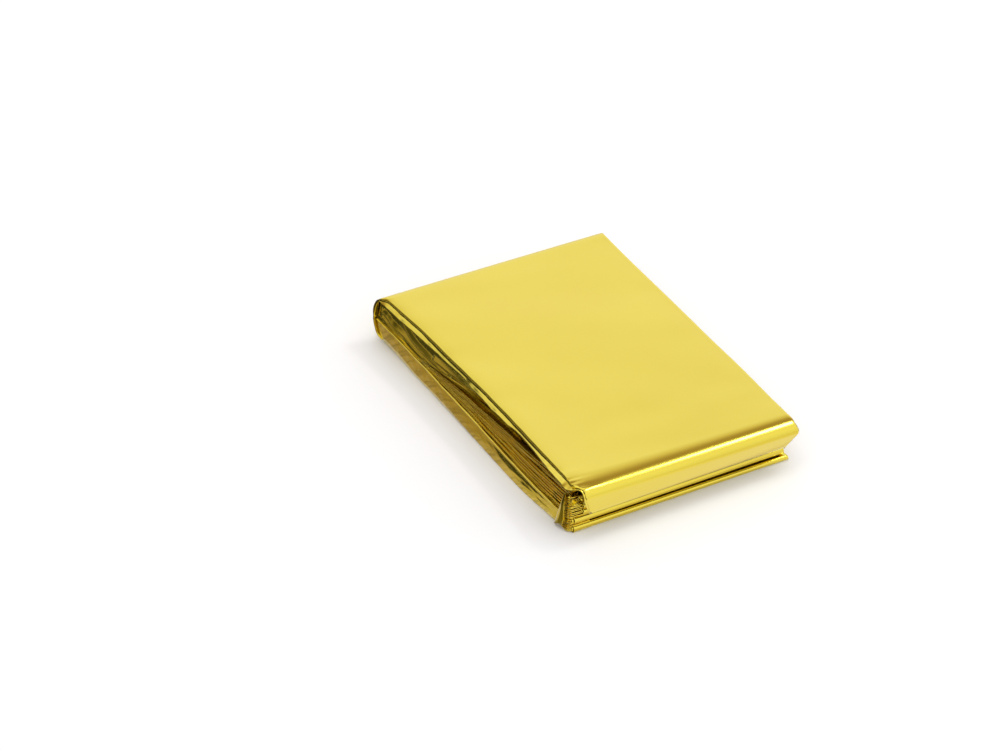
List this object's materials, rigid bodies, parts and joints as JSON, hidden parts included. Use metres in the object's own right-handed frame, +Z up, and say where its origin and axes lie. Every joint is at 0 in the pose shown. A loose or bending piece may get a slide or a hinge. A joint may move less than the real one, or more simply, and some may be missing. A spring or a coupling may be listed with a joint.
{
  "type": "emergency foil blanket, folded",
  "caption": "Emergency blanket of thin gold metallised film, folded back and forth to a flat pocket packet with its outer panel over the front.",
  "frame": {"origin": "on the surface the packet lies on, under the middle of its bounding box", "axes": "+Z up, +Y along the long side towards the back end, where the outer panel turns round the layers; the front fold faces -Y"},
  "size_m": [0.0836, 0.131, 0.0196],
  "materials": {
    "gold_foil": "polished"
  },
  "bodies": {
    "root": {"foil_blanket": "gold_foil"}
  },
  "joints": []
}
